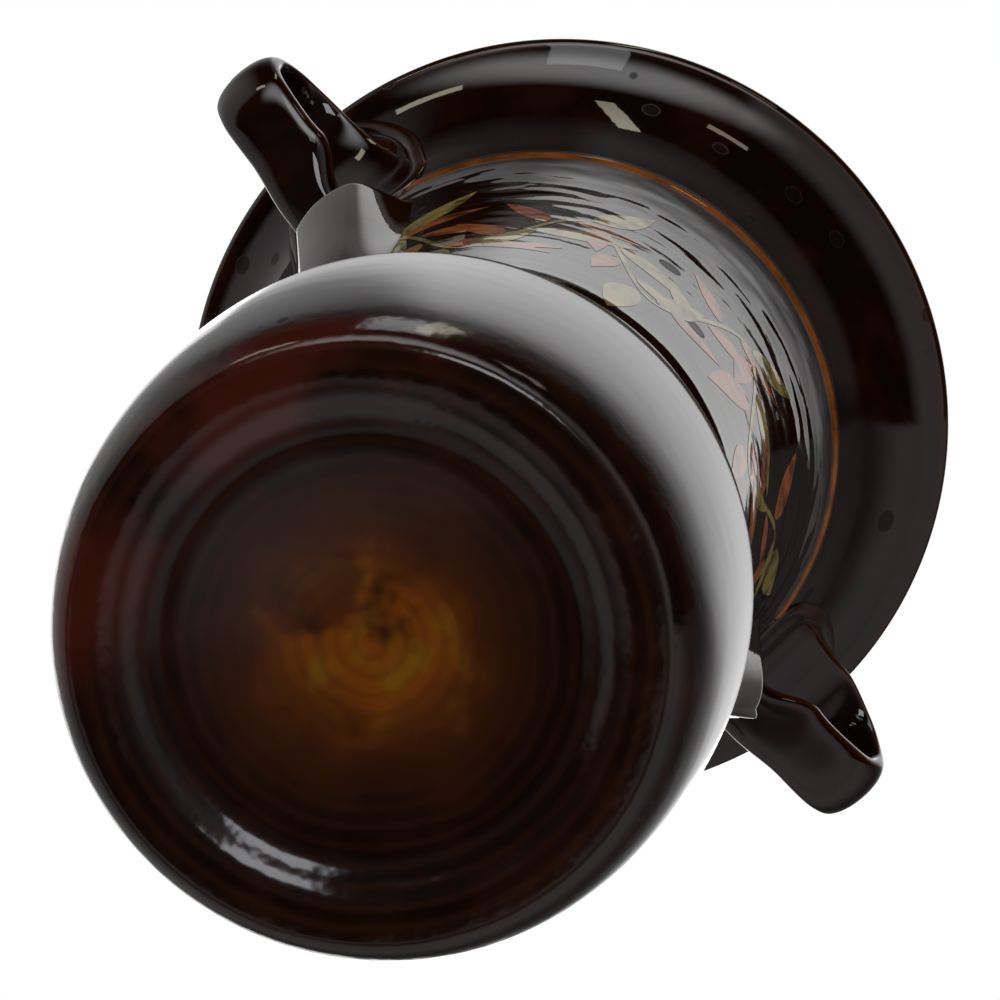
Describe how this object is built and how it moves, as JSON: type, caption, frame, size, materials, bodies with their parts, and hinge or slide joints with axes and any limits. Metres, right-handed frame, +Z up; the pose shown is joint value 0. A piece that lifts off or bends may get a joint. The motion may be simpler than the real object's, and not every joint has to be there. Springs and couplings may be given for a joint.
{
  "type": "two-handled vase",
  "caption": "Dark brown glazed pottery vase with a rounded bulb, a slow trumpet neck, a flared mouth and ear-shaped strap handles under the rim, for standing cut flowers in.",
  "frame": {"origin": "centre of the foot ring on the ground", "axes": "+Z up along the vase's axis, the handles stand along +X and -X"},
  "size_m": [0.1762, 0.144, 0.244],
  "materials": {
    "dark_glaze": "mirror-gloss near-black brown glaze",
    "base_glaze": "gloss brown glaze, thinning to amber under the foot"
  },
  "bodies": {
    "root": {"bulb": "base_glaze", "neck": "dark_glaze", "flared_rim": "dark_glaze", "right_handle": "dark_glaze", "right_handle_collar": "dark_glaze", "right_handle_tail": "dark_glaze", "left_handle": "dark_glaze", "left_handle_collar": "dark_glaze", "left_handle_tail": "dark_glaze"}
  },
  "joints": []
}
